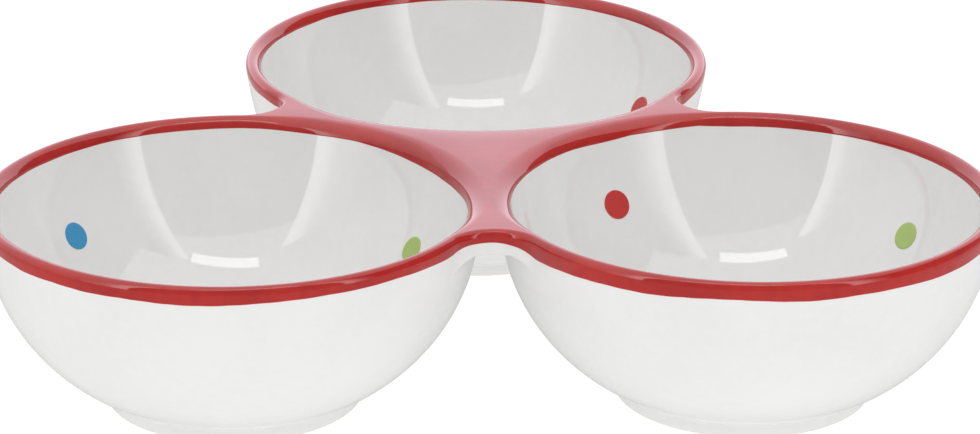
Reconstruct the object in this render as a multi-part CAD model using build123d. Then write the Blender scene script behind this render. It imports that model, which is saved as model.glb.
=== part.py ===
from build123d import *
import os
from math import asin, degrees, radians, sqrt, tan

# A dish of three round bowls joined by a flat bridge at their lips. The foot rings stand on
# z = 0, the two front bowls lie along X and the back bowl is toward +Y. The Z axis passes
# through the middle of the dish's overall width and depth. Lengths are in millimetres.

# Bowls
bowl_d = 118.0  # one bowl across the outside of its lip
bowl_gap = 2.0  # between the lips of two neighbouring bowls
dish_h = 49.5  # table to lip crest
outer_lean = 7.1  # degrees off upright, outside, just under the lip
belly_depth = 16.3  # crest to the level where the outer flare turns into the round belly
belly_in = 2.8  # how far the outside has come in at that level
inner_lean = 11.5  # degrees off upright, inside, just under the lip
floor_t = 4.5  # thickness under the floor
floor_r = 26.5  # where the inner wall's curve would meet the floor
floor_turn = 17.5  # radius of the turn from the floor into the wall

# Lip
lip_out = 1.5  # crest to outer face
lip_in = 2.3  # crest to inner face
lip_drop = 2.2  # crest to the level where the lip's rounding ends

# Foot rings
foot_r = 30.0  # outer radius on the table
foot_h = 3.5  # table to the underside of the bowl
foot_w = 4.5  # width of the ring on the table
foot_flare = 0.8  # how much wider the ring is where it meets the bowl
foot_round = 1.0  # rounding of the ring's lower edges

# Bridge
bridge_t = 6.7  # thickness under the lip crests
bridge_fillet = 10.0  # plan radius of its three free edges
bridge_drop = 0.1  # bridge top below the lip crests
bridge_start = 0.5  # where the bridge takes over from a lip, outside that lip's crest

# Red glaze
glaze_t = 0.4  # thickness
skirt_out = 1.3  # red below the lip's rounding, outside
skirt_in = 0.2  # red below the lip's rounding, inside

# Dots on the inner walls
dot_d = 6.8
dot_t = 0.3  # how far a dot stands proud of the white wall
dot_places = {  # degrees anticlockwise from +X round the bowl's own axis, crest to dot's middle
    "left": {"green": (27.1, 21.9), "blue": (143.1, 20.5), "red": (262.0, 21.0)},
    "right": {"green": (30.8, 20.6), "red": (123.8, 18.1), "blue": (245.0, 20.5)},
    "back": {"red": (23.6, 21.4), "blue": (168.0, 20.0), "green": (276.0, 21.5)},
}

# Working margin for cutting tools, past the faces that they cut
reach = 5.0

# Levels and radii that follow from the sizes above
bowl_r = bowl_d / 2
crest_r = bowl_r - lip_out
mouth_r = crest_r - lip_in
face_z = dish_h - lip_drop
outer_slope = tan(radians(outer_lean))
inner_slope = tan(radians(inner_lean))
belly_z = dish_h - belly_depth
floor_z = foot_h + floor_t
skirt_out_z = face_z - skirt_out
skirt_in_z = face_z - skirt_in
bridge_top = dish_h - bridge_drop
bridge_bottom = dish_h - bridge_t
bridge_start_r = crest_r + bridge_start

# Plan layout: the bowls' axes form an equal triangle, its depth centred on Y = 0
pitch = bowl_d + bowl_gap
row_depth = pitch * sqrt(3) / 2
centres = {
    "left": Vector(-pitch / 2, -row_depth / 2),
    "right": Vector(pitch / 2, -row_depth / 2),
    "back": Vector(0, row_depth / 2),
}
triangle_middle = (centres["left"] + centres["right"] + centres["back"]) / 3

# The lip's two ends, where the red skirt stops, and the outer wall that runs on from it
skirt_out_end = Vector(bowl_r - skirt_out * outer_slope, skirt_out_z)
skirt_in_end = Vector(mouth_r - skirt_in * inner_slope, skirt_in_z)
belly = Vector(bowl_r - belly_in, belly_z)
outer_flare = TangentArc(skirt_out_end, belly, tangent=(-outer_slope, -1))
foot_joint = Vector(foot_r + foot_flare, foot_h)
outer_round = TangentArc(belly, foot_joint, tangent=outer_flare % 1)

# The inner wall: one curve from the lip, and the turn that leads it into the flat floor
wall_curve = TangentArc(skirt_in_end, (floor_r, floor_z), tangent=(-inner_slope, -1))
wall_middle = wall_curve.arc_center
turn_z = floor_z + floor_turn
turn_reach = wall_curve.radius - floor_turn
turn_middle = Vector(wall_middle.X + sqrt(turn_reach**2 - (wall_middle.Y - turn_z) ** 2), turn_z)
floor_edge = Vector(turn_middle.X, floor_z)
wall_foot = wall_middle + (turn_middle - wall_middle).normalized() * wall_curve.radius
inner_wall = TangentArc(skirt_in_end, wall_foot, tangent=(-inner_slope, -1))
inner_turn = TangentArc(wall_foot, floor_edge, tangent=inner_wall % 1)


def turned(edges, axis=Axis.Z):
    """A closed outline in radius and height, turned once round an upright axis."""
    return revolve(Plane.XZ * make_face(edges), axis)


def lip_outer(inset):
    """The lip from its crest out and down to the end of the red skirt."""
    outer_top = Vector(bowl_r - inset, face_z)
    crest_middle = Vector(crest_r, face_z)
    rounding = EllipticalCenterArc(crest_middle, lip_out - inset, lip_drop - inset, 0, arc_size=90)
    return [rounding, Line(outer_top, skirt_out_end - Vector(inset, 0))]


def lip_inner(inset):
    """The lip from its crest in and down to the end of the red skirt."""
    inner_top = Vector(mouth_r + inset, face_z)
    crest_middle = Vector(crest_r, face_z)
    rounding = EllipticalCenterArc(crest_middle, lip_in - inset, lip_drop - inset, 90, arc_size=90)
    return [rounding, Line(inner_top, skirt_in_end + Vector(inset, 0))]


def skirt_steps():
    """The two small ledges where the red glaze ends against the white wall."""
    return [
        Line(skirt_out_end, skirt_out_end - Vector(glaze_t, 0)),
        Line(skirt_in_end, skirt_in_end + Vector(glaze_t, 0)),
    ]


def round_bowl():
    """One white bowl without its foot ring, its lip thinner by the red glaze."""
    base = Polyline(foot_joint, (0, foot_h), (0, floor_z), floor_edge)
    walls = [outer_flare, outer_round, base, inner_turn, inner_wall]
    return turned([*walls, *skirt_steps(), *lip_outer(glaze_t), *lip_inner(glaze_t)])


def rim_glaze():
    """The red glaze that wraps the whole lip."""
    finished = [*lip_outer(0), *lip_inner(0)]
    covered = [*lip_outer(glaze_t), *lip_inner(glaze_t)]
    return turned([*finished, *skirt_steps(), *covered])


def foot_ring():
    """The ring under a bowl, flat on the table, with rounded lower edges."""
    inner_r = foot_r - foot_w
    corners = [(inner_r, 0), (foot_r, 0), foot_joint, (inner_r, foot_h)]
    outline = make_face(Polyline(*corners, close=True))
    lower_corners = outline.vertices().group_by(Axis.Y)[0]
    return revolve(Plane.XZ * fillet(lower_corners, foot_round), Axis.Z)


def edge_centre(one, other):
    """The middle of the free edge's plan arc between two bowls, touching both lips."""
    middle = (centres[one] + centres[other]) / 2
    outward = (middle - triangle_middle).normalized()
    touching = bowl_r + bridge_fillet
    return middle + outward * sqrt(touching**2 - (pitch / 2) ** 2)


edge_centres = {
    "front": edge_centre("left", "right"),
    "right": edge_centre("right", "back"),
    "left": edge_centre("back", "left"),
}


def edge_cutter(inset):
    """What lies outside a free edge. The edge has the lip's own outline, turned the other way."""
    axis_r = bowl_r + bridge_fillet
    above = dish_h + reach
    crest = (crest_r, dish_h - inset)
    outside = Polyline(crest, (crest_r, above), (axis_r, above), (axis_r, belly_z), belly)
    outline = [*lip_outer(inset), outer_flare, outside]
    if inset:
        outline.append(Line(skirt_out_end, skirt_out_end - Vector(inset, 0)))
    return Pos(-axis_r, 0) * turned(outline, Axis((axis_r, 0, 0), (0, 0, 1)))


def bridge_slab(low, high, inset):
    """The bridge between two levels, with its free edges cut to shape."""
    slab = slice_of_bridge(low, high)
    cutter = edge_cutter(inset)
    for centre in edge_centres.values():
        slab -= Pos(centre) * cutter
    return slab


def slice_of_bridge(low, high):
    """All the space between the three lips, from one level up to another."""
    around = (("left", "front"), ("right", "right"), ("back", "left"))
    corners = [corner for bowl, edge in around for corner in (centres[bowl], edge_centres[edge])]
    space = extrude(Pos(0, 0, low) * make_face(Polyline(*corners, close=True)), high - low)
    for centre in centres.values():
        space -= Pos(centre.X, centre.Y, (low + high) / 2) * Cylinder(bridge_start_r, high - low)
    return space


def dot(turn, depth):
    """A round dot on the inner wall: a thin layer of the wall's curve, cut out round."""
    radius = wall_curve.radius
    rise = dish_h - depth - wall_middle.Y
    slope = Vector(sqrt(radius**2 - rise**2), rise) / radius
    angle = degrees(asin(rise / radius))
    spread = degrees(dot_d / radius)
    wall_arc = CenterArc(wall_middle, radius, angle - spread, 2 * spread)
    top_arc = CenterArc(wall_middle, radius - dot_t, angle - spread, 2 * spread)
    ends = [Line(wall_arc @ end, top_arc @ end) for end in (0, 1)]
    layer = turned([wall_arc, top_arc, *ends])
    spot = wall_middle + slope * radius
    punch = Plane(origin=(spot.X, 0, spot.Y), z_dir=(slope.X, 0, slope.Y)) * Cylinder(dot_d / 2, reach)
    return Rot(0, 0, turn) * (layer & punch)


lip_space = slice_of_bridge(bridge_bottom, dish_h + reach)
bridge_clay = bridge_slab(bridge_bottom, bridge_top - glaze_t, glaze_t)
parts = {
    "bridge": bridge_clay,
    "bridge_glaze": bridge_slab(skirt_out_z, bridge_top, 0) - bridge_clay,
}
for name, centre in centres.items():
    place = Pos(centre)
    parts[f"{name}_bowl"] = place * round_bowl() - lip_space
    parts[f"{name}_rim_glaze"] = place * rim_glaze() - lip_space
    parts[f"{name}_foot_ring"] = place * foot_ring()
    for colour, (turn, depth) in dot_places[name].items():
        parts[f"{name}_{colour}_dot"] = place * dot(turn, depth)

os.makedirs("parts", exist_ok=True)
for node, shape in parts.items():
    export_step(shape, f"parts/{node}.step")
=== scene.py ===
# %% [markdown]
# # A dish of three joined bowls, in glazed ceramic
#
# The real dish is white slip-cast clay: three round bowls that a flat bridge joins at their lips.
# Its lips and the top of the bridge carry a red glaze, brushed on by hand, and a few plain
# enamel dots sit on the inner walls. The CAD model fixes every size. This lesson builds the
# finished surfaces on the same sizes, so that light runs over them as over real glaze.

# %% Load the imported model
import math

import bpy
import numpy as np
from mathutils import Matrix


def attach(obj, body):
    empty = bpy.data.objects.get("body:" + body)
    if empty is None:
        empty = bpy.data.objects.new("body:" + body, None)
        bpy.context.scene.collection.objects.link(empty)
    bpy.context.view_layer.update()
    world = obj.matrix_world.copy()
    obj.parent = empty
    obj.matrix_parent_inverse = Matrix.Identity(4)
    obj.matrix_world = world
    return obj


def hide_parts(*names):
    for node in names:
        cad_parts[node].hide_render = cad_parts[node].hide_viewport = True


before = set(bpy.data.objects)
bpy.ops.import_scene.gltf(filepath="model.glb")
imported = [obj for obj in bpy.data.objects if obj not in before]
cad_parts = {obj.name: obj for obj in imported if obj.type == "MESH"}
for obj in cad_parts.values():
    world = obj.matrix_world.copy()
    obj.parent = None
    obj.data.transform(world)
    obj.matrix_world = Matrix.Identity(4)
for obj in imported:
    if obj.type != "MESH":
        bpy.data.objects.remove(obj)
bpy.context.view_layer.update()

# %% [markdown]
# ## Sizes
#
# These are the sizes that the CAD model was drawn with, in millimetres. The script can't read
# the drawing, so it repeats them. Three more belong to the red glaze: how far it stands proud of
# the white, how thick it is, and over what height its edge tapers off.

# %% The dish's sizes
MM = 0.001
bowl_r, bowl_gap, dish_h = 59.0, 2.0, 49.5
floor_r, floor_z, floor_turn = 26.5, 8.0, 17.5
belly_r, belly_z = 56.2, 33.2
outer_slope, inner_slope = math.tan(math.radians(7.1)), math.tan(math.radians(11.5))
lip_out, lip_in, lip_drop = 1.5, 2.3, 2.2
crest_r, mouth_r, face_z = bowl_r - lip_out, bowl_r - lip_out - lip_in, dish_h - lip_drop
foot_r, foot_h, foot_w, foot_flare, foot_round = 30.0, 3.5, 4.5, 0.8, 1.0
notch_r, bridge_t = 10.0, 6.7
red_out_z, red_in_z = face_z - 1.3, face_z - 0.2
dot_d = 6.8
proud, red_t, feather = 0.06, 0.35, 0.2
tiny = 1e-9

pitch = 2 * bowl_r + bowl_gap
row_half = pitch * math.sqrt(3) / 4
middles = {
    "left": np.array((-pitch / 2, -row_half)),
    "right": np.array((pitch / 2, -row_half)),
    "back": np.array((0.0, row_half)),
}
bridge_middle = sum(middles.values()) / 3
print("bowl axes, mm:", {name: middle.round(2).tolist() for name, middle in middles.items()})


# %% Directions, turns and spacings
def direction(way):
    """The angle from +X of a way in a plane."""
    return math.atan2(way[1], way[0])


def around(middle, radius, angles):
    """X and Y of places round a middle."""
    return middle[0] + radius * np.cos(angles), middle[1] + radius * np.sin(angles)


def rotated(way, angles):
    """A vector turned by one angle, or by each of several."""
    across = np.cos(angles) * way[0] - np.sin(angles) * way[1]
    return np.stack([across, np.sin(angles) * way[0] + np.cos(angles) * way[1]], axis=-1)


def crowded(count, power):
    """Steps from 0 to 1 that crowd together near 0."""
    return np.linspace(0, 1, count) ** power


# %% [markdown]
# ## The walls, as tangent arcs
#
# A mould maker draws a bowl's wall as arcs that run into each other without a kink. One arc is
# fixed by where it starts, its heading there, and where it ends. The angle between the heading
# and the straight line to the end is half of the whole turn, which gives the rest.


# %% Arcs in radius and height
def arc(start, end, heading, count):
    """Points on the arc that leaves start with a heading and reaches end, last heading, middle."""
    start, end, heading = (np.array(value, float) for value in (start, end, heading))
    heading /= np.linalg.norm(heading)
    side = np.array((-heading[1], heading[0]))
    chord = end - start
    turn = 2 * math.atan2(chord @ side, chord @ heading)
    centre = start + side * (chord @ chord / (2 * (chord @ side)))
    points = centre + rotated(start - centre, turn * np.linspace(0, 1, count))
    return points, rotated(heading, turn), centre


outer_top = (bowl_r - (face_z - red_out_z) * outer_slope, red_out_z)
inner_top = (mouth_r - (face_z - red_in_z) * inner_slope, red_in_z)
outer_flare, heading, _ = arc(outer_top, (belly_r, belly_z), (-outer_slope, -1.0), 25)
foot_joint = (foot_r + foot_flare, foot_h)
outer_round, _, round_middle = arc((belly_r, belly_z), foot_joint, heading, 61)

_, _, wall_middle = arc(inner_top, (floor_r, floor_z), (-inner_slope, -1.0), 3)
wall_r = np.linalg.norm(wall_middle - inner_top)
turn_rise = floor_z + floor_turn - wall_middle[1]
turn_middle = wall_middle + (math.sqrt((wall_r - floor_turn) ** 2 - turn_rise**2), turn_rise)
wall_foot = wall_middle + (turn_middle - wall_middle) * wall_r / (wall_r - floor_turn)
inner_wall, heading, _ = arc(inner_top, wall_foot, (-inner_slope, -1.0), 81)
inner_turn, _, _ = arc(wall_foot, (turn_middle[0], floor_z), heading, 31)
floor_dip = 0.3
floor_across = np.linspace(0, 1, 12)
floor_drop = floor_dip * (1 - floor_across**2) ** 2
floor_line = np.stack([floor_across * turn_middle[0], floor_z - floor_drop], axis=1)
print("inner wall: radius", round(float(wall_r), 2), "mm, round", wall_middle.round(2).tolist())

# %% [markdown]
# ## Columns that fit the notches
#
# Every bowl is turned from the same list of angles. Between two bowls the bridge ends in a
# rounded notch that touches both lips, so the list has a column exactly where they touch, and
# closer columns near it. The mesh of the bridge then meets the mesh of the lip point to point.

# %% The angles round a bowl, from the direction of the bridge's middle
notch_reach = bowl_r + notch_r
notch_turn = math.acos(pitch / 2 / notch_reach)
notch_sweep = math.pi / 2 - notch_turn
touch = math.pi / 6 + notch_turn
notch_crest_r = notch_r + lip_out
notch_steps = notch_sweep * crowded(25, 1.3)
notch_middle = around((0.0, 0.0), notch_reach, touch)
x, y = around(notch_middle, notch_crest_r, touch + math.pi + notch_steps)
notch_ends, notch_columns = np.hypot(x, y), np.arctan2(y, x)
line_columns = np.linspace(0, notch_columns[-1], 46)
free_columns = touch + (math.pi - touch) * crowded(97, 1.15)
half_turn = np.concatenate([line_columns, notch_columns[::-1][1:], free_columns[1:]])
columns = np.concatenate([-half_turn[1:-1][::-1], half_turn])
facing = {name: direction(bridge_middle - middle) for name, middle in middles.items()}
print(len(columns), "columns round each bowl")

# %% [markdown]
# ## Turning, welding and closing
#
# Three small tools make every surface here. One turns an outline round an upright axis, and the
# outline may differ from column to column. One merges points that fall together, which closes
# poles and seams. One gives an open surface an inner side, so that a glaze is a closed skin with
# a thickness. An outline always runs with the clay on its right, so the faces point outwards.


# %% Surfaces from outlines
merge_per_mm = 1e4  # points in one cell of a grid this fine are merged


def turned(radius, height, angles, middle):
    """Points and quads of a turned outline. Radius and height have one column, or one per angle."""
    radius, height = (np.reshape(value, (len(value), -1)) for value in (radius, height))
    x, y = around(middle, radius, angles)
    points = np.stack(np.broadcast_arrays(x, y, height), axis=2).reshape(-1, 3)
    return points, quads(len(radius), len(angles), True)


def quads(rows, across, loop):
    """The quads of a grid of points, whose rows close on themselves if loop is true."""
    grid = np.arange(rows * across).reshape(rows, across)
    if loop:
        grid = np.hstack([grid, grid[:, :1]])
    corners = grid[:-1, :-1], grid[1:, :-1], grid[1:, 1:], grid[:-1, 1:]
    return np.stack(corners, axis=2).reshape(-1, 4)


def weld(points, faces, **values):
    """Merges points that fall together, and drops vanished faces and unused points."""
    keys = np.round(points * merge_per_mm).astype(np.int64)
    _, first, index = np.unique(keys, axis=0, return_index=True, return_inverse=True)
    index = index.ravel().tolist()
    kept = [list(dict.fromkeys(index[corner] for corner in face)) for face in faces]
    kept = [face for face in kept if len(face) > 2]
    used = sorted({corner for face in kept for corner in face})
    renumbered = {corner: number for number, corner in enumerate(used)}
    kept = [[renumbered[corner] for corner in face] for face in kept]
    first = first[used]
    return points[first], kept, {label: column[first] for label, column in values.items()}


def skin(outer, faces, inner, **values):
    """Closes an open surface: its faces again on inner points, and a wall at each open edge."""
    outer, faces, values = weld(outer, faces, inner=inner, **values)
    inner, count = values.pop("inner"), len(outer)
    edges = {(a, b) for face in faces for a, b in zip(face, face[1:] + face[:1])}
    under = [[corner + count for corner in reversed(face)] for face in faces]
    walls = [[b, a, a + count, b + count] for a, b in edges if (b, a) not in edges]
    doubled = {label: np.concatenate([column, column]) for label, column in values.items()}
    return np.vstack([outer, inner]), faces + under + sorted(walls), doubled


# %% A mesh object from points in millimetres
def added(name, data):
    """A new object in the scene."""
    made = bpy.data.objects.new(name, data)
    bpy.context.scene.collection.objects.link(made)
    return made


def piece(name, points, faces, sharp=40.0, **values):
    """A welded smooth mesh, crisp where its faces meet at more than a sharp angle."""
    points, faces, values = weld(points, faces, **values)
    mesh = bpy.data.meshes.new(name)
    mesh.from_pydata((np.asarray(points) * MM).tolist(), [], faces)
    for label, column in values.items():
        layer = mesh.attributes.new(label, "FLOAT", "POINT")
        layer.data.foreach_set("value", np.asarray(column, np.float32))
    mesh.shade_smooth()
    mesh.set_sharp_from_angle(angle=math.radians(sharp))
    print(f"{name}: {len(mesh.vertices)} points, {len(mesh.polygons)} faces")
    return added(name, mesh)


# %% [markdown]
# ## Shader sums as Python
#
# A glaze's colour and gloss come from small sums on noise and distance. The class below wraps one
# output of a node, so that such a sum reads like arithmetic, and adds the nodes behind it.


# %% One output of a node, ready for sums
class Wire:
    """An output socket of a shader or geometry node tree."""

    def __init__(self, tree, socket=None):
        self.tree, self.socket = tree, socket

    def node(self, kind, settings=None, inputs=None, output=0):
        """Adds a node, sets its settings and then its inputs, and wraps one of its outputs."""
        made = self.tree.nodes.new(kind)
        for label, value in (settings or {}).items():
            setattr(made, label, value)
        for label, value in (inputs or {}).items():
            if isinstance(value, Wire):
                self.tree.links.new(value.socket, made.inputs[label])
            else:
                made.inputs[label].default_value = value
        return Wire(self.tree, made.outputs[output])

    def others(self, *labels):
        """Other outputs of the same node."""
        return [Wire(self.tree, self.socket.node.outputs[label]) for label in labels]

    def part(self, axis):
        """The X, Y or Z of a vector."""
        return self.node("ShaderNodeSeparateXYZ", inputs={"Vector": self}, output=axis)

    def into(self, kind, label):
        """Links this output to an input of a node, which is new if it is given by its type."""
        target = self.tree.nodes.new(kind) if isinstance(kind, str) else kind
        self.tree.links.new(self.socket, target.inputs[label])

    def maths(self, operation, *others):
        """A sum that starts with this output."""
        values = dict(enumerate((self, *others)))
        return self.node("ShaderNodeMath", {"operation": operation}, values)

    def __add__(self, other):
        return self.maths("ADD", other)

    def __sub__(self, other):
        return self.maths("SUBTRACT", other)

    def __rsub__(self, other):
        return self * -1.0 + other

    def __mul__(self, other):
        return self.maths("MULTIPLY", other)

    def __truediv__(self, other):
        return self.maths("DIVIDE", other)

    def __pow__(self, other):
        return self.maths("POWER", other)

    __radd__, __rmul__ = __add__, __mul__

    def step(self, low, high):
        """A smooth rise from 0 at low to 1 at high."""
        ends = {"Value": self, "From Min": low, "From Max": high}
        return self.node("ShaderNodeMapRange", {"interpolation_type": "SMOOTHSTEP"}, ends)


# %% [markdown]
# ## Glazes
#
# Fired glaze is a clear glassy layer over colour. Its gloss is high and even, and its surface
# rolls very slightly, because it was once liquid. White glaze is a little thicker in some
# places than others, and has a few tiny dark specks from iron in the clay. The red was brushed
# on, so it is deeper where the brush left more, and paler where it thins out at its edges. Each
# finish is one recipe with its own numbers.

# %% The recipe for a glaze
cloud_scale, fine_scale, speck_scale, waver_scale = 38.0, 420.0, 55.0, 90.0  # all per metre
specks_seen = ((-58.9, -1.3, 25.5), (47.5, -105.4, 43.5), (81.9, 2.5, 44.3))
speck_r = 0.2
cloud_share, depth_from, depth_to, deep_shade = 0.65, 0.36, 0.64, 0.965
edge_grain, thin_to, full_from = 0.25, 0.12, 0.75
roughness, rough_grain, cloud_roll, fine_roll, roll_strength = 0.02, 0.03, 0.05, 0.002, 0.35
white_colour, speck_colour = (0.74, 0.74, 0.728), (0.10, 0.085, 0.07)


def glaze(name, colour, thin=None, deep=None, specks=False):
    """A glossy glaze. Thin is its colour at an edge where it fades, deep where it lies thick."""
    material = bpy.data.materials.new(name)
    material.use_nodes = True
    shader = material.node_tree.nodes["Principled BSDF"]
    shader.inputs["IOR"].default_value = 1.5
    place = Wire(material.node_tree).node("ShaderNodeTexCoord", output="Object")
    cloud, fine = (
        place.node("ShaderNodeTexNoise", inputs={"Vector": place, "Scale": scale, "Detail": detail})
        for scale, detail in ((cloud_scale, 2.0), (fine_scale, 3.0))
    )
    depth = (cloud * cloud_share + fine * (1 - cloud_share)).step(depth_from, depth_to)
    shade = blend(depth, colour, deep or tuple(deep_shade * value for value in colour))
    if thin:
        edge = place.node("ShaderNodeAttribute", {"attribute_name": "thickness"}, output="Fac")
        shade = blend((edge + fine * edge_grain).step(thin_to, full_from), thin, shade)
    if specks:
        shade = blend(speck_mask(place), shade, speck_colour)
    shade.into(shader, "Base Color")
    (roughness + rough_grain * fine).into(shader, "Roughness")
    roll = cloud * cloud_roll + fine * fine_roll
    bump = {"Height": roll, "Strength": roll_strength, "Distance": MM}
    place.node("ShaderNodeBump", inputs=bump).into(shader, "Normal")
    return material


def blend(factor, low, high):
    """A colour between low and high. Each is a colour or a wire."""
    mix = {"data_type": "RGBA"}
    ends = {
        key: value if isinstance(value, Wire) else (*value, 1.0)
        for key, value in ((6, low), (7, high))
    }
    return factor.node("ShaderNodeMix", mix, {0: factor, **ends}, output=2)


def speck_mask(place):
    """1 on a few tiny specks: three whose places are known, and a sparse scatter."""
    scatter = place.node("ShaderNodeTexVoronoi", inputs={"Vector": place, "Scale": speck_scale})
    (chance,) = scatter.others("Color")
    pick = place.node("ShaderNodeSeparateColor", inputs={"Color": chance}).step(0.985, 0.99)
    mask = (1 - scatter.step(0.006, 0.011)) * pick
    for point in specks_seen:
        spot = tuple(value * MM for value in point)
        away = place.node(
            "ShaderNodeVectorMath", {"operation": "DISTANCE"}, {0: place, 1: spot}, "Value"
        )
        mask = mask + (1 - away.step(0.7 * speck_r * MM, 1.3 * speck_r * MM))
    return mask.maths("MINIMUM", 1.0)


white = glaze("white_glaze", white_colour, specks=True)
red = glaze("red_glaze", (0.41, 0.018, 0.014), thin=(0.50, 0.10, 0.09), deep=(0.34, 0.012, 0.011))
dot_glazes = {
    "blue": glaze("blue_enamel", (0.052, 0.272, 0.50)),
    "green": glaze("green_enamel", (0.34, 0.47, 0.12)),
    "red": glaze("red_enamel", (0.50, 0.041, 0.037)),
}
print("finishes:", [material.name for material in bpy.data.materials])

# %% [markdown]
# The foot ring is glazed on its sides and wiped bare where it touches the kiln shelf, or it
# would stick. Bare fired clay is matt and a little creamy, and the glaze stops in an uneven line.

# %% Bare clay under the foot
bare_to, glazed_from, bare_waver, bare_rough = 0.25, 0.4, 0.5, 0.6
clay_colour = (0.66, 0.60, 0.52)
foot_finish = glaze("foot_ring", white_colour)
shader = foot_finish.node_tree.nodes["Principled BSDF"]
colour, smooth = (
    Wire(foot_finish.node_tree, shader.inputs[label].links[0].from_socket)
    for label in ("Base Color", "Roughness")
)
place = colour.node("ShaderNodeTexCoord", output="Object")
waver = place.node("ShaderNodeTexNoise", inputs={"Vector": place, "Scale": waver_scale})
line = place.part("Z") + (waver - 0.5) * bare_waver * MM
bare = 1 - line.step(bare_to * MM, glazed_from * MM)
blend(bare, colour, clay_colour).into(shader, "Base Color")
(smooth + bare * bare_rough).into(shader, "Roughness")
print("bare clay shows below about", glazed_from, "mm")

# %% [markdown]
# ## The red edge
#
# The red band ends in a line drawn by hand, with slow waves of a few tenths of a millimetre.
# Outside, the line must run on unbroken from a lip into a notch of the bridge, so its height
# depends only on the place in plan: it tilts a little across the dish, rises in each notch, and
# swings up and down along the front. Inside, it hangs lower where the brush met the bridge. Each
# swing is a smooth bump with a middle, a half width and a height.

# %% How high the red edge lies
waves = (  # each with its size, length, way in plan and start
    (0.14, 57.0, 1.0, 0.5),
    (0.09, 31.0, 0.4, 0.0),
    (0.07, 17.0, 2.1, 1.3),
    (0.05, 11.0, 4.4, 0.7),
    (0.03, 6.1, 5.9, 2.9),
)
tilt_x, tilt_y = -0.00375, 0.0041  # rise per millimetre across the dish
notch_rise, notch_rise_r, notch_rise_over = 1.0, 66.0, 7.3  # round the bridge's middle
front_swings = ((-27, 36, 0.62), (11, 13, -1.0), (27, 14, -0.4), (52, 22, 0.35))  # along X
front_y, front_over = -60.0, 15.0  # the swings start here and are whole this much further front
inner_stray = 0.5
sags = {  # round each bowl in degrees, from the direction of the bridge's middle
    "left": ((-8, 54, 2.2),),
    "right": ((0, 400, 0.35), (-48, 14, -0.5), (-27, 16, 0.55), (0, 50, 0.25)),
    "back": ((0, 60, 1.0),),
}


def stray(x, y):
    """How far a line drawn by hand strays at a place in plan, in millimetres."""
    return sum(
        size * np.sin(2 * math.pi * (x * math.cos(way) + y * math.sin(way)) / length + start)
        for size, length, way, start in waves
    )


def ease(value):
    """A smooth rise from 0 at 0 to 1 at 1."""
    value = np.clip(value, 0, 1)
    return value * value * (3 - 2 * value)


def bumps(place, shapes):
    """A sum of smooth bumps, each with a middle, a half width and a height."""
    return sum(high * ease(1 - np.abs(place - middle) / half) for middle, half, high in shapes)


def red_outside(middle, radius, angles):
    """Height of the red's lower edge outside, round any axis."""
    x, y = around(middle, radius, angles)
    inward = notch_rise_r - np.hypot(x - bridge_middle[0], y - bridge_middle[1])
    swing = bumps(x, front_swings) * ease((front_y - y) / front_over)
    swing = swing + notch_rise * ease(inward / notch_rise_over)
    return red_out_z + tilt_x * x + tilt_y * y + swing + stray(x, y)


def red_inside(name):
    """Height of the red's lower edge inside a bowl, at each of its columns."""
    x, y = around(middles[name], mouth_r, facing[name] + columns)
    return red_in_z - bumps(np.degrees(columns), sags[name]) + inner_stray * stray(x, y)


# %% [markdown]
# ## One lip, from edge to edge
#
# A lip's section is a curve on each side of its crest. It leaves the wall along the wall's own
# slope and reaches the crest level, like a quarter of an ellipse in a leaning box. Along the
# bridge the lip is softer: the curve starts lower, and ends further out, in the bridge's gentle
# slope. The rows crowd together near the crest, so that the flat top can start there without a
# line. Each row has a point on the glaze and one on the clay under it, and the last rows taper.
# The red ends a little under the curve, where its colour has reached part of its full depth.

# %% Where the lips soften along the bridge
soft_turn, soft_low, soft_out, settle, settle_reach = math.radians(22), 0.7, 2.0, 0.3, 9.0
nearby = 0.02  # how far away a slope is measured


def softness(turns):
    """1 where a lip faces the bridge, and 0 from where a notch touches it."""
    return ease((touch - np.abs(turns)) / soft_turn)


def level_top(x, y):
    """Height of the glazed top of the bridge: it settles a little toward each lip."""
    height = np.full(np.shape(x), dish_h)
    for name, middle in middles.items():
        away = np.hypot(x - middle[0], y - middle[1]) - crest_r
        turns = np.arctan2(y - middle[1], x - middle[0]) - facing[name]
        turns = (turns + math.pi) % (2 * math.pi) - math.pi
        near = np.maximum(settle_reach - away, 0) / settle_reach
        height = height - settle * softness(turns) * near**2
    return height


def crest_line(name):
    """Radius and height of a lip's crest at each column, and the slope outward from it."""
    radius = crest_r + soft_out * softness(columns)
    height, further = (
        level_top(*around(middles[name], far, facing[name] + columns))
        for far in (radius, radius + nearby)
    )
    slope = np.where(softness(columns) > 0, (further - height) / nearby, 0.0)
    return radius, height, slope


# %% Rows of a lip's section
rounding = np.radians([0, 8, 17, 26, 35, 44, 53, 61, 68, 74, 79, 83, 86, 88, 89.2, 90])[:, None]
taper = (0, 0.25, 0.5, 0.75, 1)
edge_gap, edge_full, lean_over = 0.12, 0.6, 0.4
wall_lines = {
    -1: np.array([(mouth_r, face_z), *inner_wall])[::-1],
    1: np.array([(bowl_r, face_z), *outer_flare])[::-1],
}


def wall_at(side, height):
    """Radius of the wall under the lip at a height, inside for side -1 and outside for side 1."""
    return np.interp(height, wall_lines[side][:, 1], wall_lines[side][:, 0])


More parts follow.
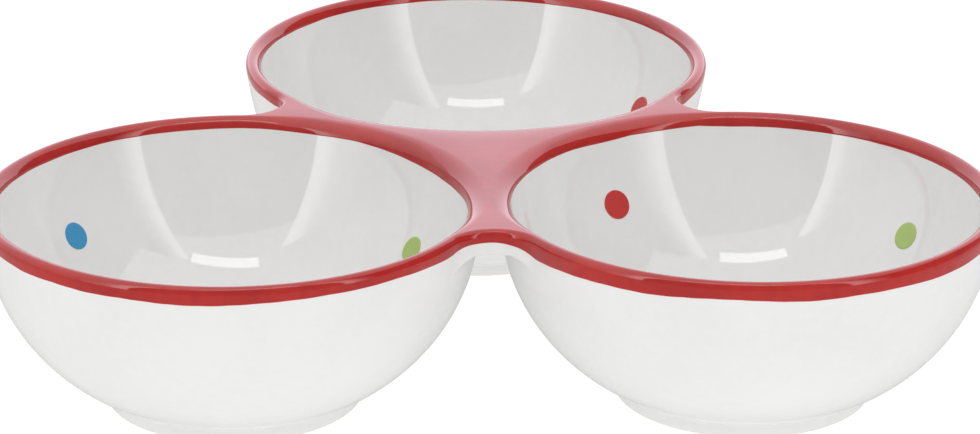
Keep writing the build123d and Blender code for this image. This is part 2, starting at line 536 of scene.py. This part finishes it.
def rolled(side, crest, low=0.0, spread=0.0):
    """The lip's curve from the wall, or outside it by a spread, to the crest, and ways into it."""
    crest_radius, crest_height, crest_slope = crest
    foot_z = face_z - low + 0 * crest_radius
    wall = wall_at(side, foot_z)
    lean = (wall - wall_at(side, foot_z - lean_over)) / lean_over
    foot = wall + spread
    rise = crest_height - foot_z + crest_slope * (foot - crest_radius)
    rise = rise / (1 - crest_slope * lean)
    corner = np.stack([foot + rise * lean, foot_z + rise])
    to_foot = np.stack([foot, foot_z]) - corner
    to_crest = np.stack([crest_radius, crest_height]) - corner
    corner, to_foot, to_crest = (pair[:, None] for pair in (corner, to_foot, to_crest))
    cosine, sine = np.cos(rounding), np.sin(rounding)
    radius, height = corner + to_foot * (1 - sine) + to_crest * (1 - cosine)
    step_r, step_z = to_crest * sine - to_foot * cosine
    length = np.hypot(step_r, step_z)
    return radius, height, -side * step_z / length, side * step_r / length


def half_lip(side, edge, crest, low=0.0):
    """Rows from the red edge to the crest: radius and height of glaze and clay, and thickness."""
    radius, height, into_r, into_z = rolled(side, crest, low)
    edge = np.minimum(edge, height[0] - edge_gap)
    even = 0 * edge
    rows = []
    for t in taper:
        level = edge - feather * (1 - t)
        wall = wall_at(side, level)
        glazed = wall - side * proud * (1 - math.sin(t * math.pi / 2))
        clay = wall - side * (red_t if t == 1 else proud)
        rows.append((glazed, level, clay, level, edge_full * t + even))
    for t in (1 / 3, 2 / 3):
        level = edge + (height[0] - edge) * t
        wall = wall_at(side, level)
        thick = edge_full + (1 - edge_full) * t
        rows.append((wall, level, wall - side * red_t, level, thick + even))
    for row in zip(radius, height, radius + red_t * into_r, height + red_t * into_z):
        rows.append((*row, 1.0 + even))
    return np.array(rows).transpose(1, 0, 2)


print(len(taper) + 2 + len(rounding), "rows on each side of a crest")

# %% [markdown]
# ## The red round each lip
#
# On the inside the red runs all the way round. On the outside it runs only round the free part
# of the lip, because the glaze on the bridge takes over from the crest where the bridge begins.

# %% Three rims
finished = {}


def hand_in(made, slot, finish, *nodes):
    """Gives a piece its finish, hangs it from the root, and hides the CAD nodes it stands for."""
    made.data.materials.append(finish)
    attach(made, "root")
    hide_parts(*nodes)
    finished[made.name] = made


lowered = soft_low * softness(columns)
for name, middle in middles.items():
    angles = facing[name] + columns
    inner = half_lip(-1, red_inside(name), crest_line(name), lowered)
    outer = half_lip(1, red_outside(middle, bowl_r, angles), crest_line(name))
    rows = np.concatenate([inner, outer[:, ::-1][:, 1:]], axis=1)
    radius, height, clay_radius, clay_height, thick = rows
    glazed, faces = turned(radius, height, angles, middle)
    clay, _ = turned(clay_radius, clay_height, angles, middle)
    row, column = np.divmod(faces[:, 0], len(columns))
    held = np.minimum(np.abs(columns), np.abs(np.roll(columns, -1))) < touch - tiny
    open_lip = faces[(row < inner.shape[1] - 1) | ~held[column]]
    points, faces, values = skin(glazed, open_lip.tolist(), clay, thickness=thick.ravel())
    rim = piece(f"{name}_rim", points, faces, **values)
    hand_in(rim, "red_glaze", red, f"{name}_rim_glaze")

# %% [markdown]
# ## The white bowls
#
# A bowl is one outline turned once round its axis, as on a potter's wheel. It is walked from the
# middle of the floor up the inside, over the lip and down the outside. The whole outline sits a
# little way into the clay, so that the red stands proud of it, and under the red it gives way to
# the red's thickness, from a little above the red's edge and with a small bond into the red.
# Along the bridge it follows the softer lip, and there it widens outwards too.

# %% The bowl's outline
wall_share = np.linspace(0, 1, 81)[1:, None]
widening, overlap, bond = 0.45, 0.35, 0.02
under_radii = (20.0, 10.0, 0.0)


def white_section(crest, low, red_inner, red_outer):
    """Radius and height of the white surface: rows along the outline, a column per angle."""
    across = 0 * crest[0]
    floor, outside = (
        [np.stack([radius + across, height + across]) for radius, height in line]
        for line in (
            [*floor_line, *inner_turn[::-1][1:]],
            [*outer_flare, *outer_round[1:], *((radius, foot_h) for radius in under_radii)],
        )
    )
    level = wall_foot[1] + wall_share * (face_z - low - wall_foot[1])
    wall = wall_middle[0] + np.sqrt(wall_r**2 - (level - wall_middle[1]) ** 2)
    inner_lip = np.stack(rolled(-1, crest, low)[:2], axis=1)[1:]
    spread = widening * (crest[0] - crest_r)
    outer_lip = np.stack(rolled(1, crest, spread=spread)[:2], axis=1)[::-1][1:]
    rows = [floor, np.stack([wall, level], axis=1), inner_lip, outer_lip, outside]
    inside = np.arange(sum(map(len, rows)))[:, None] < sum(map(len, rows[:3]))
    rows = np.concatenate(rows)
    covered = rows[:, 1] > np.where(inside, red_inner, red_outer) + overlap
    rows = pulled_in(rows, np.where(covered, red_t - bond, proud))
    rows[-len(under_radii) :, 1] = foot_h + proud
    rows[[0, -1], 0] = 0.0
    return rows[:, 0], rows[:, 1]


def pulled_in(rows, inset):
    """Rows of an outline moved into the clay on its right, by an inset for each point."""
    step = np.gradient(rows, axis=0)
    length = np.hypot(step[:, 0], step[:, 1])
    side = np.stack([step[:, 1] / length, -step[:, 0] / length], axis=1)
    moved = rows + side * inset[:, None]
    moved[:, 0] = np.maximum(moved[:, 0], 0.0)
    return moved


for name, middle in middles.items():
    angles = facing[name] + columns
    edges = red_inside(name), red_outside(middle, bowl_r, angles)
    points, faces = turned(*white_section(crest_line(name), lowered, *edges), angles, middle)
    body = piece(f"{name}_body", points, faces.tolist())
    hand_in(body, "white_glaze", white, f"{name}_bowl")

# %% [markdown]
# ## The foot rings
#
# A foot lifts the bowl off the table. Its lower edges are rounded, so that they don't chip, and
# a small hollow rounding runs from its sides into the bowl, because wet clay is smoothed there
# with a finger. The ring reaches a little way into the bowl, so that no gap shows.

# %% The ring's outline
foot_fillet, under_fillet = 1.4, 1.0
sunk, under_sunk, buried = 0.5, 0.6, 0.004  # into the bowl: the ring's top and its roundings' ends
foot_in = foot_r - foot_w
rise = np.array((foot_flare, foot_h)) / math.hypot(foot_flare, foot_h)
out = np.array((rise[1], -rise[0]))
round_r = np.linalg.norm(np.array(foot_joint) - round_middle) - proud


def round_off(centre, radius, first, last, count=9):
    """Points on an arc round a centre, between two directions."""
    turns = [direction(way) for way in (first, last)]
    turns[1] = turns[0] + (turns[1] - turns[0] + math.pi) % (2 * math.pi) - math.pi
    return np.stack(around(centre, radius, np.linspace(*turns, count)), axis=1)


corner = np.array((foot_r, 0.0))
toe = corner - foot_round * out
toe = toe + rise * (foot_round - toe[1]) / rise[1]
heel = np.array((foot_in + foot_round, foot_round))
start = corner + foot_fillet * out
ahead = (start - round_middle) @ rise
apart = (start - round_middle) @ (start - round_middle)
half_chord = math.sqrt(ahead**2 - apart + (round_r + foot_fillet) ** 2)
slide = min((half_chord - ahead, -half_chord - ahead), key=lambda value: abs(value - foot_h))
hollow = start + slide * rise
to_wall = (round_middle - hollow) / np.linalg.norm(round_middle - hollow)
under_middle = np.array((foot_in - under_fillet, foot_h + proud - under_fillet))
ring_top = hollow + to_wall * (foot_fillet + sunk)
foot_outline = np.concatenate(
    [
        [ring_top],
        round_off(hollow, foot_fillet - buried, to_wall, -out, 13),
        round_off(toe, foot_round, out, (0, -1)),
        round_off(heel, foot_round, (0, -1), (-1, 0)),
        round_off(under_middle, under_fillet - buried, (1, 0), (0, 1)),
        [(under_middle[0], foot_h + under_sunk)],
        [ring_top],
    ]
)
ring_angles = np.linspace(0, 2 * math.pi, 192, endpoint=False)
for name, middle in middles.items():
    points, faces = turned(*foot_outline.T, ring_angles, middle)
    foot = piece(f"{name}_foot", points, faces.tolist())
    hand_in(foot, "foot_ring", foot_finish, f"{name}_foot_ring")

# %% [markdown]
# ## The red on the bridge
#
# The bridge is flat in its middle, level with the lips that it joins. Each bowl has its own
# share of it, from its crest out to the line where it meets the neighbour's share. At the three
# free edges the glaze rolls over like a lip, round the axis of the notch.

# %% Shares of the top, and the rolled edges
notch_middles = {}
for one, other in (("left", "right"), ("right", "back"), ("back", "left")):
    halfway = (middles[one] + middles[other]) / 2
    outward = (halfway - bridge_middle) / np.linalg.norm(halfway - bridge_middle)
    notch_middles[one, other] = halfway + outward * math.sqrt(notch_reach**2 - (pitch / 2) ** 2)

share = crowded(25, 1.3)
held_columns = columns[np.abs(columns) < touch + tiny]
far = np.abs(held_columns) > notch_columns[-1] + tiny
limit = pitch / 2 / np.cos(np.abs(held_columns) - math.pi / 6)
limit[far] = np.interp(np.abs(held_columns[far]), notch_columns[::-1], notch_ends[::-1])
glazed, clay, faces, thick = [], [], [], []


def gather(outer, inner, across, thickness):
    """Adds one grid of points and its quads to the surface."""
    earlier = sum(len(grid) for grid in glazed)
    faces.extend((quads(len(outer) // across, across, False) + earlier).tolist())
    for grids, grid in ((glazed, outer), (clay, inner), (thick, thickness)):
        grids.append(grid)


for name, middle in middles.items():
    crest = crest_r + soft_out * softness(held_columns)
    radius = crest + share[:, None] * (limit - crest)
    x, y = around(middle, radius, facing[name] + held_columns)
    top = np.stack([x, y, level_top(x, y)], axis=2).reshape(-1, 3)
    gather(top, top - (0, 0, red_t), len(held_columns), np.ones(len(top)))

fan = np.concatenate([notch_steps[:-1] - notch_sweep, (notch_sweep - notch_steps)[::-1]])
for middle in notch_middles.values():
    angles = direction(bridge_middle - middle) + fan
    crest_height = level_top(*around(middle, notch_crest_r, angles))
    crest = (crest_r + 0 * angles, crest_height, 0 * angles)
    rows = half_lip(1, red_outside(middle, notch_r, angles), crest)
    radius, height, clay_radius, clay_height, thickness = rows
    outer, _ = turned(notch_reach - radius, height, angles, middle)
    inner, _ = turned(notch_reach - clay_radius, clay_height, angles, middle)
    gather(outer, inner, len(angles), thickness.ravel())

glazed, clay, thick = (np.concatenate(grids) for grids in (glazed, clay, thick))
points, faces, values = skin(glazed, faces, clay, thickness=thick)
hand_in(piece("bridge_top", points, faces, **values), "red_glaze", red, "bridge_glaze")

# %% [markdown]
# ## The white bridge
#
# Below the red the bridge is white clay, with a hollow rounding along each bowl and a rounded
# lower edge in each notch. Three bowls, three notches and their roundings all meet here, which
# is hard to lay out face by face. So the clay is written as a rough distance to its surface, and
# a mesh is drawn where that distance is zero. Inside a bowl's wall the clay only goes a little
# way in: the keel, and less where the red lies close.

# %% Distance to the clay of the bridge
under_red = 0.65
bridge_low, bridge_high = dish_h - bridge_t, dish_h - under_red
web_round, edge_round, least_round, edge_share = 3.0, 1.8, 0.02, 0.6
keel, upper_keel, upper_from = 0.8, 0.3, face_z - 2
seam, seam_fill, inset = 1.2, 0.3, 0.01  # where two bowls' walls come close, and overall
least_r = 40.0  # the bridge stays outside this radius
free_crest = tuple(np.array([value]) for value in (crest_r, dish_h, 0.0))
free_section = white_section(free_crest, np.zeros(1), red_in_z, red_out_z + notch_rise)
outer_r, outer_z = (line[:, 0] for line in free_section)
outer = (np.arange(len(outer_z)) >= outer_z.argmax()) & (outer_r > least_r)
outer_r, outer_z = outer_r[outer][::-1], outer_z[outer][::-1]


def joined(one, other, radius):
    """Two solids as one, with a hollow rounding between them."""
    hollow = np.hypot(np.maximum(radius - one, 0), np.maximum(radius - other, 0))
    return np.maximum(radius, np.minimum(one, other)) - hollow


def common(one, other, radius):
    """What two solids share, with a rounded edge."""
    edge = np.hypot(np.maximum(radius + one, 0), np.maximum(radius + other, 0))
    return np.minimum(-radius, np.maximum(one, other)) + edge


def outside_bridge(x, y, z):
    """Roughly how far a point lies outside the bridge's clay, in millimetres."""
    wall = np.interp(z, outer_z, outer_r)
    bowls = [np.hypot(x - mx, y - my) - wall for mx, my in middles.values()]
    nearer, farther = np.minimum(*bowls[:2]), np.maximum(*bowls[:2])
    nearest = np.minimum(nearer, bowls[2])
    second = np.minimum(farther, np.maximum(nearer, bowls[2]))
    between = np.maximum(seam - (second - nearest), 0) / seam
    clay = joined(nearest - between**2 * seam_fill, bridge_low - z, web_round)
    for mx, my in notch_middles.values():
        beyond = notch_reach - wall - np.hypot(x - mx, y - my)
        rounded = np.clip(edge_share * (nearest - beyond), least_round, edge_round)
        clay = common(clay, beyond, rounded)
    within = -nearest - np.where(z < upper_from, keel, upper_keel)
    for cut in (z - bridge_high, bridge_low - web_round - keel - z, within):
        clay = np.maximum(clay, cut)
    for pair, notch in notch_middles.items():
        for start in (middles[name] for name in pair):
            normal = rotated(notch - start, math.pi / 2) / np.linalg.norm(notch - start)
            normal *= -np.sign((bridge_middle - start) @ normal)
            clay = np.maximum(clay, (x - start[0]) * normal[0] + (y - start[1]) * normal[1])
    return clay + inset


# %% A mesh where the distance is zero
nudge, rounds, longest_move, least_slope = 0.02, 4, 0.4, 0.2


def zero_surface(field, low, high, step):
    """A closed mesh of quads where a field is zero, with its points moved onto the surface."""
    axes = [np.arange(a, b + step, step) for a, b in zip(low, high)]
    values = field(*np.meshgrid(*axes, indexing="ij", sparse=True))
    cells = tuple(count - 1 for count in values.shape)
    total, hits = np.zeros((*cells, 3)), np.zeros(cells)
    rings = []
    for axis in range(3):
        u, v = (axis + 1) % 3, (axis + 2) % 3
        near = np.take(values, range(values.shape[axis] - 1), axis)
        far = np.take(values, range(1, values.shape[axis]), axis)
        crossed = np.argwhere((near < 0) != (far < 0))
        one, other = near[tuple(crossed.T)], far[tuple(crossed.T)]
        spot = crossed.astype(float)
        spot[:, axis] += one / (one - other)
        ring = []
        for du, dv in ((-1, -1), (0, -1), (0, 0), (-1, 0)):
            cell = crossed.copy()
            cell[:, u] += du
            cell[:, v] += dv
            np.add.at(total, tuple(cell.T), spot)
            np.add.at(hits, tuple(cell.T), 1)
            ring.append(np.ravel_multi_index(tuple(cell.T), cells))
        ring = np.stack(ring, axis=1)
        ring[one > 0] = ring[one > 0][:, ::-1]
        rings.append(ring)
    rings = np.vstack(rings)
    used, faces = np.unique(rings, return_inverse=True)
    spots = total.reshape(-1, 3)[used] / hits.ravel()[used, None]
    points = np.array([axis[0] for axis in axes]) + spots * step
    for _ in range(rounds):
        value = field(*points.T)
        ways = nudge * np.eye(3)
        slope = [field(*(points + way).T) - field(*(points - way).T) for way in ways]
        slope = np.stack(slope, axis=1) / (2 * nudge)
        move = -slope * (value / np.maximum((slope**2).sum(axis=1), least_slope))[:, None]
        size = np.maximum(np.linalg.norm(move, axis=1)[:, None], tiny)
        points = points + move * np.minimum(1, step * longest_move / size)
    return points, faces.reshape(-1, 4)


mesh_step = 0.4  # in a box that holds the bridge
low = (-62.0, -84.0, bridge_low - web_round - 1.6)
high = (62.0, 25.0, bridge_high + 1.2)
points, faces = zero_surface(outside_bridge, low, high, mesh_step)
print("bridge spans, mm:", points.min(0).round(2).tolist(), points.max(0).round(2).tolist())
body = piece("bridge_body", points, faces.tolist(), sharp=50)
hand_in(body, "white_glaze", white, "bridge")

# %% [markdown]
# ## The dots
#
# Nine plain round dots of enamel sit on the inner walls, and they are all one shape. Geometry
# nodes make that shape once: a ball is pressed flat like a lozenge and then bent onto the wall's
# curve. The tree's inputs say how wide the dot is, how deep it sits and where round the bowl.

# %% One tree for every dot
dot_proud, dot_sunk, dot_flatness = 0.13, 0.25, 18.0
wall_spot = (float(wall_middle[0]) * MM, 0.0, float(wall_middle[1]) * MM)
dot_inputs = {
    "Diameter": ("Float", dot_d * MM),
    "Proud": ("Float", dot_proud * MM),
    "Sunk": ("Float", dot_sunk * MM),
    "Wall Radius": ("Float", float(wall_r) * MM),
    "Wall Middle": ("Vector", wall_spot),
    "Level": ("Float", 30 * MM),
    "Turn": ("Float", 0.0),
    "Bowl": ("Vector", (0.0, 0.0, 0.0)),
    "Finish": ("Material", None),
}
dot_tree = bpy.data.node_groups.new("wall_dot", "GeometryNodeTree")
sockets = {}
for label, (kind, value) in dot_inputs.items():
    socket = dot_tree.interface.new_socket(label, in_out="INPUT", socket_type=f"NodeSocket{kind}")
    socket.default_value = value
    sockets[label] = socket.identifier
dot_tree.interface.new_socket("Geometry", in_out="OUTPUT", socket_type="NodeSocketGeometry")
entry = dot_tree.nodes.new("NodeGroupInput")
given = {label: Wire(dot_tree, entry.outputs[label]) for label in dot_inputs}
base = Wire(dot_tree)
ball = base.node("GeometryNodeMeshUVSphere", inputs={"Segments": 72, "Rings": 36, "Radius": 1.0})
spot = base.node("GeometryNodeInputPosition")
x, y, z = (spot.part(axis) for axis in "XYZ")
from_middle = (x * x + y * y).maths("SQRT")
flat = (1 - from_middle.maths("MINIMUM", 1.0) ** dot_flatness) ** 0.5
above = z.maths("GREATER_THAN", 0.0)
height = flat * (above * (given["Proud"] + given["Sunk"]) - given["Sunk"])
half = given["Diameter"] * 0.5
centre_x, centre_z = (given["Wall Middle"].part(axis) for axis in "XZ")
slope = (given["Level"] - centre_z) / given["Wall Radius"]
angle = slope.maths("ARCSINE") + y * half / given["Wall Radius"]
ray = given["Wall Radius"] - height
out_from_axis = centre_x + ray * angle.maths("COSINE")
turn = given["Turn"] + x * half / out_from_axis
place = base.node(
    "ShaderNodeCombineXYZ",
    inputs={
        "X": out_from_axis * turn.maths("COSINE"),
        "Y": out_from_axis * turn.maths("SINE"),
        "Z": centre_z + ray * angle.maths("SINE"),
    },
)
moved = base.node("ShaderNodeVectorMath", {"operation": "ADD"}, {0: place, 1: given["Bowl"]})
bent = base.node("GeometryNodeSetPosition", inputs={"Geometry": ball, "Position": moved})
smoothed = base.node("GeometryNodeSetShadeSmooth", inputs={"Geometry": bent})
plain = base.node("GeometryNodeRealizeInstances", inputs={"Geometry": smoothed})
painted = {"Geometry": plain, "Material": given["Finish"]}
base.node("GeometryNodeSetMaterial", inputs=painted).into("NodeGroupOutput", "Geometry")
print("dot inputs:", list(dot_inputs))

# %% Nine dots from the tree
dot_places = {  # turn from +X in degrees, depth below the crest and diameter in millimetres
    "left": {"green": (27.1, 21.9, 6.6), "blue": (143.1, 20.5, 6.8), "red": (262.0, 21.0, 6.8)},
    "right": {"green": (30.8, 20.6, 6.8), "red": (123.8, 18.1, 7.2), "blue": (245.0, 20.5, 6.7)},
    "back": {"red": (23.6, 21.4, 6.4), "blue": (168.0, 20.0, 6.8), "green": (276.0, 21.5, 6.7)},
}
for name, places in dot_places.items():
    for colour, (degrees, depth, size) in places.items():
        start = added("start", bpy.data.meshes.new("start"))
        shaper = start.modifiers.new("dot", "NODES")
        shaper.node_group = dot_tree
        shaper[sockets["Diameter"]] = size * MM
        shaper[sockets["Level"]] = (dish_h - depth) * MM
        shaper[sockets["Turn"]] = math.radians(degrees)
        shaper[sockets["Bowl"]] = (*(middles[name] * MM).tolist(), 0.0)
        shaper[sockets["Finish"]] = dot_glazes[colour]
        shaped = start.evaluated_get(bpy.context.evaluated_depsgraph_get())
        mesh = bpy.data.meshes.new_from_object(shaped)
        mesh.materials.clear()
        bpy.data.objects.remove(start)
        dot = added(f"{name}_{colour}_spot", mesh)
        hand_in(dot, f"{colour}_dot", dot_glazes[colour], f"{name}_{colour}_dot")
print(len(finished), "pieces in all")

# %% [markdown]
# ## Floor, light and camera
#
# Glossy white glaze shows the room as clearly as it shows itself. The photograph was taken in a
# white light tent with an open front. The lamp above shows as a small bright bar in each bowl,
# and the opening as a darker field with a bright cloth edge on each side. The right side of the
# tent is dim. The tent's parts here stand where those reflections lead back to. Only gloss sees
# them: the soft light that shapes the dish comes from the world and the lamp, and the camera
# sees plain white.

# %% Stage cards and their glow
def card(name, corners, finish):
    """A flat stage card from four corners in metres."""
    mesh = bpy.data.meshes.new(name)
    mesh.from_pydata(corners, [], [(0, 1, 2, 3)])
    mesh.materials.append(finish)
    made = added(name, mesh)
    return made


def upright(name, start, end, top, finish, bottom=0.0):
    """A wall of the tent that only gloss sees."""
    low = [(*start, bottom), (*end, bottom)]
    made = card(name, [*low, (*end, top), (*start, top)], finish)
    made.visible_camera = made.visible_diffuse = made.visible_shadow = False


def emptied(owner):
    """The emptied shader tree of a material or a world, ready for sums."""
    owner.use_nodes = True
    owner.node_tree.nodes.clear()
    return Wire(owner.node_tree)


def glowing(name, strength, stops=None, span=1.0, tint=(1.0, 1.0, 1.0)):
    """A finish that glows in one tint, or with a brightness that its stops give along X."""
    finish = bpy.data.materials.new(name)
    base = emptied(finish)
    glow = {"Strength": strength, "Color": (*tint, 1.0)}
    if stops:
        place = base.node("ShaderNodeTexCoord", output="Object")
        across = place.part("X") / (2 * span) + 0.5
        glow["Color"] = base.node("ShaderNodeValToRGB", inputs={"Fac": across})
        ramp = glow["Color"].socket.node.color_ramp.elements
        for index, (x, value) in enumerate(stops):
            stop = ramp[index] if index < len(ramp) else ramp.new(1.0)
            stop.position = (x / span + 1) / 2
            stop.color = (*[value / strength] * 3, 1.0)
    base.node("ShaderNodeEmission", inputs=glow).into("ShaderNodeOutputMaterial", "Surface")
    return finish


# %% A pale floor that keeps a shadow
floor_half, floor_glow, floor_mix = 3.0, 1.15, 0.74
glossy_less, diffuse_more = 0.6, 0.28
floor_finish = bpy.data.materials.new("studio_floor")
base = emptied(floor_finish)
paper = base.node("ShaderNodeBsdfDiffuse", inputs={"Color": (0.88, 0.88, 0.88, 1.0)})
to_gloss, to_diffuse = base.node("ShaderNodeLightPath").others("Is Glossy Ray", "Is Diffuse Ray")
strength = floor_glow - to_gloss * glossy_less + to_diffuse * diffuse_more
glow = base.node("ShaderNodeEmission", inputs={"Strength": strength})
both = base.node("ShaderNodeMixShader", inputs={0: floor_mix, 1: paper, 2: glow})
both.into("ShaderNodeOutputMaterial", "Surface")
square = ((-1, -1), (1, -1), (1, 1), (-1, 1))
card("studio_floor", [(x * floor_half, y * floor_half, 0) for x, y in square], floor_finish)
print("the floor is", 2 * floor_half, "m wide")

# %% The open front, its bright edges, the dim side and the back wall
left_edge, right_edge = (-0.520, -0.555), (0.353, -0.421)
opening = np.subtract(right_edge, left_edge)
edge_blur, cloth_glow, front_half = 0.004, 4.1, 1.6
left_fade = ((0.60, 1.6), (0.28, 2.2), (0.11, cloth_glow))  # metres past the edge, brightness
right_fade = ((0.05, 3.4), (0.15, 1.2), (0.26, 0.2))
right_glow = 3.6
front_top, tent_top, back_top = 0.70, 1.10, 0.9


def front_finish(name, between):
    """A bright band past each edge of the opening, which fades outwards, and a glow between."""
    left, right = left_edge[0], right_edge[0]
    stops = [(left - away, glow) for away, glow in left_fade]
    stops += [(left - edge_blur, cloth_glow), (left + edge_blur, between)]
    stops += [(right - edge_blur, between), (right + edge_blur, right_glow)]
    stops += [(right + away, glow) for away, glow in right_fade]
    return glowing(name, cloth_glow, stops, span=front_half)


front_ends = (-1.2, 1.68)  # in widths of the opening, from its left edge
front = [tuple(np.add(left_edge, opening * share).tolist()) for share in front_ends]
back_left, back_right, side_front = (-1.1, 0.80), (1.1, 0.80), (0.947, -0.330)
upright("tent_front", *front, front_top, front_finish("tent_front", between=0.42))
top_finish = front_finish("tent_front_top", between=1.55)
upright("tent_front_top", *front, tent_top, top_finish, bottom=front_top)
upright("tent_side", side_front, back_right, tent_top, glowing("tent_side", strength=0.25))
back_finish = glowing("tent_back", strength=1.8, tint=(0.99, 0.98, 1.08))
upright("tent_back", back_left, back_right, back_top, back_finish)
print("the opening is", round(float(np.hypot(*opening)), 3), "m wide")

# %% World and lamp
world = bpy.data.worlds.new("light_tent")
bpy.context.scene.world = world
base = emptied(world)
path = base.node("ShaderNodeLightPath")
to_camera, to_gloss, through = path.others("Is Camera Ray", "Is Glossy Ray", "Is Transmission Ray")
way = base.node("ShaderNodeTexCoord", output="Generated")
upward = way.part("Z").maths("MAXIMUM", 0.0)
soft, bright = (  # what lights the dish, and what gloss and the camera see
    base.node("ShaderNodeBackground", inputs={"Color": (1, 1, 1, 1), "Strength": strength})
    for strength in (0.89 + upward * 0.24, 1.0 + upward * 0.75)
)
seen = to_camera + to_gloss + through
both = base.node("ShaderNodeMixShader", inputs={0: seen, 1: soft, 2: bright})
both.into("ShaderNodeOutputWorld", "Surface")

lamp_data = bpy.data.lights.new("lamp", "AREA")
lamp_data.shape = "RECTANGLE"
lamp_data.size, lamp_data.size_y = 0.35, 0.060
lamp_radiance = 5.1
lamp_data.energy = lamp_radiance * math.pi * lamp_data.size * lamp_data.size_y
lamp = added("lamp", lamp_data)
lamp.location = (-0.009, -0.261, 0.653)
lamp.rotation_euler = (0.0, 0.0, math.radians(-2))
lamp.visible_camera = False
print("the lamp gives", round(lamp_data.energy, 2), "W")

# %% Camera
camera_place = (-0.03152, -0.93895, 0.37586)
swing, pitch_down, roll = -2.04, 20.51, 0.25
camera = added("camera", bpy.data.cameras.new("camera"))
camera.data.lens, camera.data.sensor_width, camera.data.sensor_fit = 149.2, 36.0, "HORIZONTAL"
view = Matrix.Translation(camera_place)
for degrees, axis in ((swing, "Z"), (90 - pitch_down, "X"), (roll, "Z")):
    view = view @ Matrix.Rotation(math.radians(degrees), 4, axis)
camera.matrix_world = view
bpy.context.scene.camera = camera
bpy.context.scene.view_settings.view_transform = "Standard"
